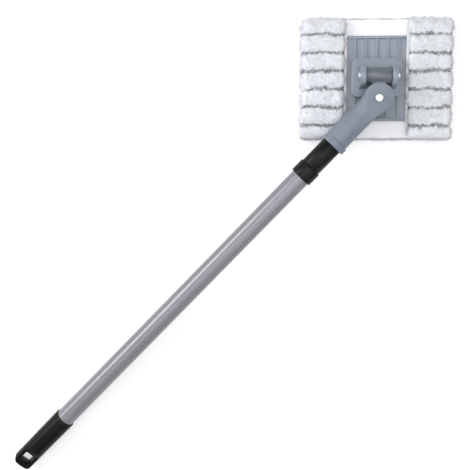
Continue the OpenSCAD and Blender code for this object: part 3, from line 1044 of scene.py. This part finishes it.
@dataclass
class Pole:
    """The neck, the socket, both tubes, the twist lock and the grip."""

    neck_round: float = 1.0
    black_round: float = 0.5
    grip_round: float = 1.0
    ring_radii: tuple[float, float] = (9.85, 11.4)
    ring_span: tuple[float, float] = (103.28, 104.2)

    def build(self, neck: Material, black: Material, grip: Material, tube: Material, inner: Material,
              nylon: Material, steel: Material) -> None:
        """Dresses every part of the pole.

        Args:
            neck: The neck's material.
            black: The socket's, the collar's and the inner plastic parts' material.
            grip: The grip's material.
            tube: The outer tube's material.
            inner: The inner tube's material.
            nylon: The expander's material.
            steel: The spindle's, its stop's and the rivet's material.
        """
        smooth_copy("neck_yoke", neck, self.neck_round)
        smooth_copy("grip", grip, self.grip_round)
        for node in ("pole_socket", "collar"):
            smooth_copy(node, black, self.black_round)
        for node, finish in (
            ("guide_bush", black), ("lock_plug", black), ("cone_nut", black), ("expander_sleeve", nylon),
            ("outer_tube", tube), ("inner_tube", inner), ("lock_spindle", steel), ("spindle_stop", steel),
            ("socket_rivet", steel),
        ):
            dress(node, finish)
        self.wiper(black)
        LOG.info("pole dressed")

    def wiper(self, rubber: Material) -> None:
        """Builds the thin wiper ring in the collar's mouth, which rides with the collar.

        Its section is a rounded rectangle (a superellipse of order 4) carried round the pole's axis.

        Args:
            rubber: The ring's material.
        """
        pivot = np.array(joint("head_swivel")["pos_m"]) / MM
        along = np.array(joint("pole_twist")["axis"])
        up = np.array(joint("head_swivel")["axis"])
        across = np.cross(up, along)
        around, section = 96, 16
        turn = np.arange(around) * math.tau / around
        out, over = rounded_square(section)
        (inner, outer), (start, end) = self.ring_radii, self.ring_span
        reach = (inner + outer) / 2 + (outer - inner) / 2 * out
        height = (start + end) / 2 + (end - start) / 2 * over
        spoke = np.cos(turn)[:, None] * across + np.sin(turn)[:, None] * up
        points = pivot + spoke[:, None] * reach[None, :, None] + along * height[None, :, None]
        numbers = np.arange(around * section).reshape(around, section)
        numbers = np.concatenate([numbers, numbers[:1]])
        numbers = np.concatenate([numbers, numbers[:, :1]], 1)
        obj = make_object("collar_wiper_ring", points.reshape(-1, 3) * MM,
                          grid_triangles(around + 1, section + 1, numbers), rubber)
        face_outwards(obj)
        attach(obj, "pole")
        LOG.info("wiper ring with %d faces", len(obj.data.polygons))


# Studio ------------------------------------------------------------------


@dataclass(frozen=True)
class SoftBox:
    """A rectangular soft light: where it hangs, what it faces, its width and height, and its power."""

    name: str
    place: tuple[float, float, float]
    aim: tuple[float, float, float]
    size: tuple[float, float]
    power: float

    def hang(self) -> None:
        """Adds the light to the scene."""
        lamp = bpy.data.lights.new(self.name, "AREA")
        lamp.shape = "RECTANGLE"
        lamp.size, lamp.size_y = self.size
        lamp.energy = self.power
        obj = bpy.data.objects.new(self.name, lamp)
        obj.location = self.place
        obj.rotation_euler = (Vector(self.aim) - Vector(self.place)).to_track_quat("-Z", "Y").to_euler()
        bpy.context.scene.collection.objects.link(obj)


@dataclass
class Studio:
    """Pale floor, soft lights and the camera."""

    lens: float = 62.04
    sensor: float = 36.0
    place: tuple[float, float, float] = (-0.09308, -0.10724, 0.94015)
    turn: tuple[float, float, float] = (-4.268, 3.977, 0.264)
    daylight: float = 0.46
    horizon: float = 0.64
    floor_glow: float = 0.38
    floor_reach: float = 6.0
    floor_cloud_mm: float = 3.0
    boxes: tuple[SoftBox, ...] = (
        # the long box beside the pole draws the streak of light along its upper flank
        SoftBox("side_box", (-1.52, 0.28, 0.96), (-0.45, -0.55, 0.02), (1.0, 0.75), 20.0),
        # a small box overhead lights the crest of the neck, socket and collar
        SoftBox("crest_box", (-0.16, -0.02, 1.75), (-0.07, -0.11, 0.03), (0.7, 0.7), 3.8),
        # the wide box overhead keeps tops bright while the flanks of dark parts stay dark
        SoftBox("ceiling_box", (-0.15, -0.15, 2.3), (-0.15, -0.15, 0.0), (2.6, 2.6), 36.0),
        SoftBox("fill_box", (1.0, -1.1, 1.5), (-0.1, -0.1, 0.0), (1.4, 1.4), 7.0),
    )

    def build(self) -> None:
        """Builds the camera, the lights and the floor."""
        camera = bpy.data.objects.new("camera", bpy.data.cameras.new("camera"))
        camera.data.lens = self.lens
        camera.data.sensor_width = self.sensor
        camera.location = self.place
        camera.rotation_euler = [math.radians(angle) for angle in self.turn]
        bpy.context.scene.collection.objects.link(camera)
        bpy.context.scene.camera = camera
        world = bpy.data.worlds.new("studio")
        world.use_nodes = True
        tree = world.node_tree
        sky = add(tree, "ShaderNodeTexCoord")
        parts = add(tree, "ShaderNodeSeparateXYZ", Vector=sky.outputs["Generated"])
        # bright near the horizon, where it meets the floor, and calmer above
        level = add(
            tree, "ShaderNodeMapRange",
            {"interpolation_type": "SMOOTHSTEP", "From Min": 0.02, "From Max": 0.35,
             "To Min": self.horizon, "To Max": self.daylight},
            Value=parts.outputs["Z"],
        )
        tree.links.new(level.outputs["Result"], tree.nodes["Background"].inputs["Strength"])
        tree.nodes["Background"].inputs["Color"].default_value = linear("ffffff")
        bpy.context.scene.world = world
        bpy.context.scene.view_settings.view_transform = "Standard"
        for box in self.boxes:
            box.hang()
        self.lay_floor()
        LOG.info("studio with %d soft boxes", len(self.boxes))

    def lay_floor(self) -> None:
        """Lays a plain square of opal acrylic, faintly lit from below, under the mop."""
        material, tree, shader = new_tree("opal_acrylic_floor")
        # cloudiness of the cast sheet, so faint that the floor reads as plain
        cloud_look = {"Scale": per_metre(self.floor_cloud_mm), "Detail": 2.0}
        clouds = add(tree, "ShaderNodeTexNoise", cloud_look, Vector=object_space(tree))
        tone = ramp(tree, clouds.outputs["Fac"], [(0.3, "c3c3c3"), (0.7, "c8c8c8")])
        tree.links.new(tone, shader.inputs["Base Color"])
        shader.inputs["Emission Color"].default_value = linear("ffffff")
        shader.inputs["Emission Strength"].default_value = self.floor_glow
        shader.inputs["Roughness"].default_value = 0.95
        shader.inputs["Specular IOR Level"].default_value = 0.1
        points = self.floor_reach * np.array([[-1, -1, 0], [1, -1, 0], [1, 1, 0], [-1, 1, 0]])
        obj = make_object("floor", points, np.array([[0, 1, 2], [0, 2, 3]]), material, smooth=False)


def main() -> None:
    """Builds the studio, the pad, the head and the pole."""
    logging.basicConfig(level=logging.INFO, format="%(name)s: %(message)s")
    Studio().build()
    black = MouldedPlastic("black_moulded_pp", "131216", "0e0d10", roughness=0.36, gloss=0.13).material()
    grip_black = MouldedPlastic("grip_moulded_pp", "120f0f", "0b0909", roughness=0.4, gloss=0.12).material()
    plate_grey = MouldedPlastic("plate_moulded_abs", "7d8590", "747c88", roughness=0.42).material()
    knuckle_grey = MouldedPlastic("knuckle_moulded_pa", "5c626b", "545a63", roughness=0.4).material()
    neck_grey = MouldedPlastic("neck_moulded_abs", "6e7681", "676f7a", roughness=0.42, gloss=0.35).material()
    nylon = MouldedPlastic("natural_nylon", "dcdad2", "d2d0c8", roughness=0.45).material()
    pole = Vector(joint("pole_twist")["axis"])
    along = tuple(pole.rotation_difference(Vector((0, 0, 1))).to_euler())
    tube = LacqueredSteel("silver_grey_lacquer", "78787e", "7e7e85", along).material()
    inner = LacqueredSteel("inner_tube_lacquer", "a3a6aa", "b4b6b9", along, roughness=0.28).material()
    steel = ZincSteel().material()
    pile = MicrofibrePile().material()
    cloth = WovenCloth("backing_weave", "eeeef1", "d9d9de").material()
    tape = WovenCloth("hem_tape_weave", "e3e3e8", "c9c9d0", thread_mm=0.9).material()
    TuftedPad().build(pile, cloth, tape)
    Head().build(plate_grey, knuckle_grey, steel)
    Pole().build(neck_grey, black, grip_black, tube, inner, nylon, steel)


if __name__ == "__main__":
    main()
